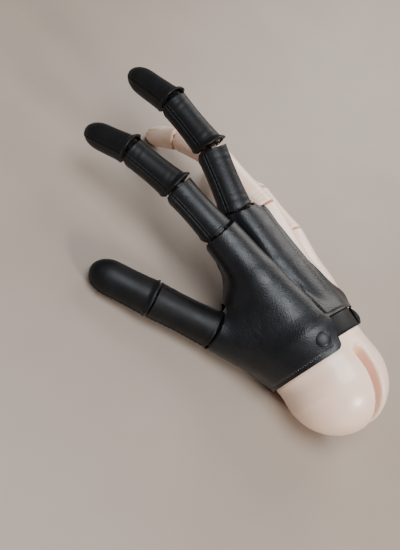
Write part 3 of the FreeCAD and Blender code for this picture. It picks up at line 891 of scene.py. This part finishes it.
def capsule(start, end, radius, columns=10, rings=5):
    """Points and faces of a stitch: a rounded grain between two points."""
    along = end - start
    length = np.linalg.norm(along)
    basis = upright_to(along / length)
    points = []
    round_end = np.linspace(0.15, math.pi / 2, rings)
    profile = [(radius * math.sin(a), -radius * math.cos(a)) for a in round_end]
    profile += [(1.06 * radius, length / 2)]
    profile += [(radius * math.sin(a), length + radius * math.cos(a)) for a in reversed(round_end)]
    for r, h in profile:
        for j in range(columns):
            a = 2 * math.pi * j / columns
            points.append(basis @ np.array([r * math.cos(a), r * math.sin(a), h]) + start)
    return points, closed_tube(len(profile), columns)


def make_stitches(name, grains, radius):
    """A row of stitches, one for each (start, end)."""
    points, faces = [], []
    for start, end in grains:
        new_points, new_faces = capsule(start, end, radius)
        faces += [tuple(v + len(points) for v in face) for face in new_faces]
        points += new_points
    add_mesh(name, points, faces, "palm", THREAD, "leather")


def cuff_stitches():
    """Start and end of each stitch: a zigzag along the cuff's edge, then a short row up the flap."""
    grains = []
    first, pitch, slant, half_width, clearance = -24.5, 5.6, 2.4, 0.8, 0.32
    for step in range(24):
        for row, rise in enumerate((-half_width, half_width)):
            angle = first - pitch * (step + row / 2)
            grains.append((surface_point(STITCH_LINE + rise, angle, clearance),
                           surface_point(STITCH_LINE - rise, angle - slant, clearance)))
    for step in range(4):
        y, angle = 16.8 + 2.6 * step, -23.6 + 0.55 * step
        grains.append((surface_point(y, angle, 0.1), surface_point(y + 1.7, angle + 1.4, 0.1)))
    return grains


# Degrees round the wrist
STRAP_FROM, STRAP_TO = -27, 196
TAB_FROM, TAB_LIFTS, TAB_TO = 38, 60, 84            # the tab's free end lifts past TAB_LIFTS
CUFF_SNAP, STRAP_SNAP = -32, 58


def make_wrist():
    lift = WRIST_RADIUS + 0.03

    def tab_radius(angle):
        return lift + LEATHER + 0.35 + 2.0 * max(0, (angle - TAB_LIFTS) / (TAB_TO - TAB_LIFTS)) ** 2

    make_band("wrist_strap_leather", STRAP_FROM, STRAP_TO, lambda angle: lift, STRAP_NEAR, STRAP_FAR, "wrist_strap", 0)
    make_band("strap_tab_leather", TAB_FROM, TAB_TO, tab_radius, STRAP_NEAR + 0.3, STRAP_FAR - 0.3, "strap_tab", 4.4)
    strap_snap_foot = radial(STRAP_SNAP) * (tab_radius(STRAP_SNAP) + LEATHER - 0.05) + np.array([0, 21, 0])
    make_lathe("cuff_snap_dome", snap_profile(), surface_point(19.4, CUFF_SNAP, -0.1), radial(CUFF_SNAP),
               ENAMEL, "snap_enamel", ("cuff_snap_cap",))
    make_lathe("strap_snap_dome", snap_profile(), strap_snap_foot, radial(STRAP_SNAP),
               ENAMEL, "snap_enamel", ("strap_snap_cap",))
    make_stitches("cuff_stitching", cuff_stitches(), 0.42)


# ---------------------------------------------------------------- build
make_palm()
make_cover()
make_wrist()
for digit in digits:
    for index in range(len(digit.segments)):
        make_casting(digit, index)
        if digit.clad:
            make_sleeve(digit, index)

# CAD pieces that stay in view, by the ending of their names. The others are replaced above
KEPT = {"_pin": STEEL, "_washers": WASHER, "_stud": BRASS, "wrist_insert": BRASS}
for node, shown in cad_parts.items():
    material = next((finish for ending, finish in KEPT.items() if node.endswith(ending)), RESIN)
    shown.data.materials.clear()
    shown.data.materials.append(material)


# ---------------------------------------------------------------- floor, light and camera
def make_floor():
    """A table top at the hand's lowest point."""
    mesh = bpy.data.meshes.new("floor")
    half, height = 3.0, cad_low[2]
    corners = [(-half, -half, height), (half, -half, height), (half, half, height), (-half, half, height)]
    mesh.from_pydata(corners, [], [(0, 1, 2, 3)])
    floor = bpy.data.objects.new("floor", mesh)
    bpy.context.scene.collection.objects.link(floor)
    shader = Shader("table", 0.5)
    shader.colour(shader.ramp(shader.noise(60, 3), [(0.3, (0.302, 0.240, 0.193)), (0.7, (0.328, 0.263, 0.214))]))
    shader.bump(shader.noise(1.5, 2), 0.01)
    mesh.materials.append(shader.material)
    floor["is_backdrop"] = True


# Name, place, size, power in watts and colour
LIGHTS = (
    ("overhead", (-0.20, 0.03, 0.72), 0.50, 7.5, (0.88, 0.94, 1.0)),
    ("wrist_side", (-0.10, -0.75, 0.42), 0.20, 6.5, (1.0, 0.94, 0.88)),
    ("little_side", (0.60, 0.30, 0.42), 0.60, 4.5, (1.0, 0.97, 0.93)),
)
LIT_POINT = -0.01, 0.06, 0


def add_area_light(name, location, size, power, colour):
    light = bpy.data.lights.new(name, "AREA")
    light.shape = "DISK"
    light.size, light.energy, light.color = size, power, colour
    lamp = bpy.data.objects.new(name, light)
    lamp.location = location
    lamp.rotation_euler = (Vector(LIT_POINT) - Vector(location)).to_track_quat("-Z", "Y").to_euler()
    bpy.context.scene.collection.objects.link(lamp)


def make_world():
    world = bpy.data.worlds.new("room")
    world.use_nodes = True
    background = world.node_tree.nodes["Background"]
    background.inputs["Color"].default_value = (0.93, 0.90, 0.88, 1)
    background.inputs["Strength"].default_value = 0.17
    bpy.context.scene.world = world


CAMERA_PLACE = -0.2315, 0.0104, 0.2331
CAMERA_BACK = -0.6295, -0.2108, 0.7478              # from the scene to the camera
CAMERA_UP = 0.2995, 0.8222, 0.4839
SENSOR = 36
FOCAL_LENGTH = 1.182545   # in heights of the image


def make_camera():
    back = Vector(CAMERA_BACK).normalized()
    right = Vector(CAMERA_UP).cross(back).normalized()
    up = back.cross(right)
    camera = bpy.data.objects.new("camera", bpy.data.cameras.new("camera"))
    axes = Matrix((right, up, back)).transposed().to_4x4()
    camera.matrix_world = Matrix.Translation(CAMERA_PLACE) @ axes
    camera.data.sensor_width = SENSOR
    camera.data.lens = FOCAL_LENGTH * SENSOR
    camera.data.clip_start = 0.01
    bpy.context.scene.collection.objects.link(camera)
    bpy.context.scene.camera = camera


make_floor()
for light in LIGHTS:
    add_area_light(*light)
make_world()
make_camera()

low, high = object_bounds()
{"cad": [list(cad_low), list(cad_high)], "visual": [list(low), list(high)]}
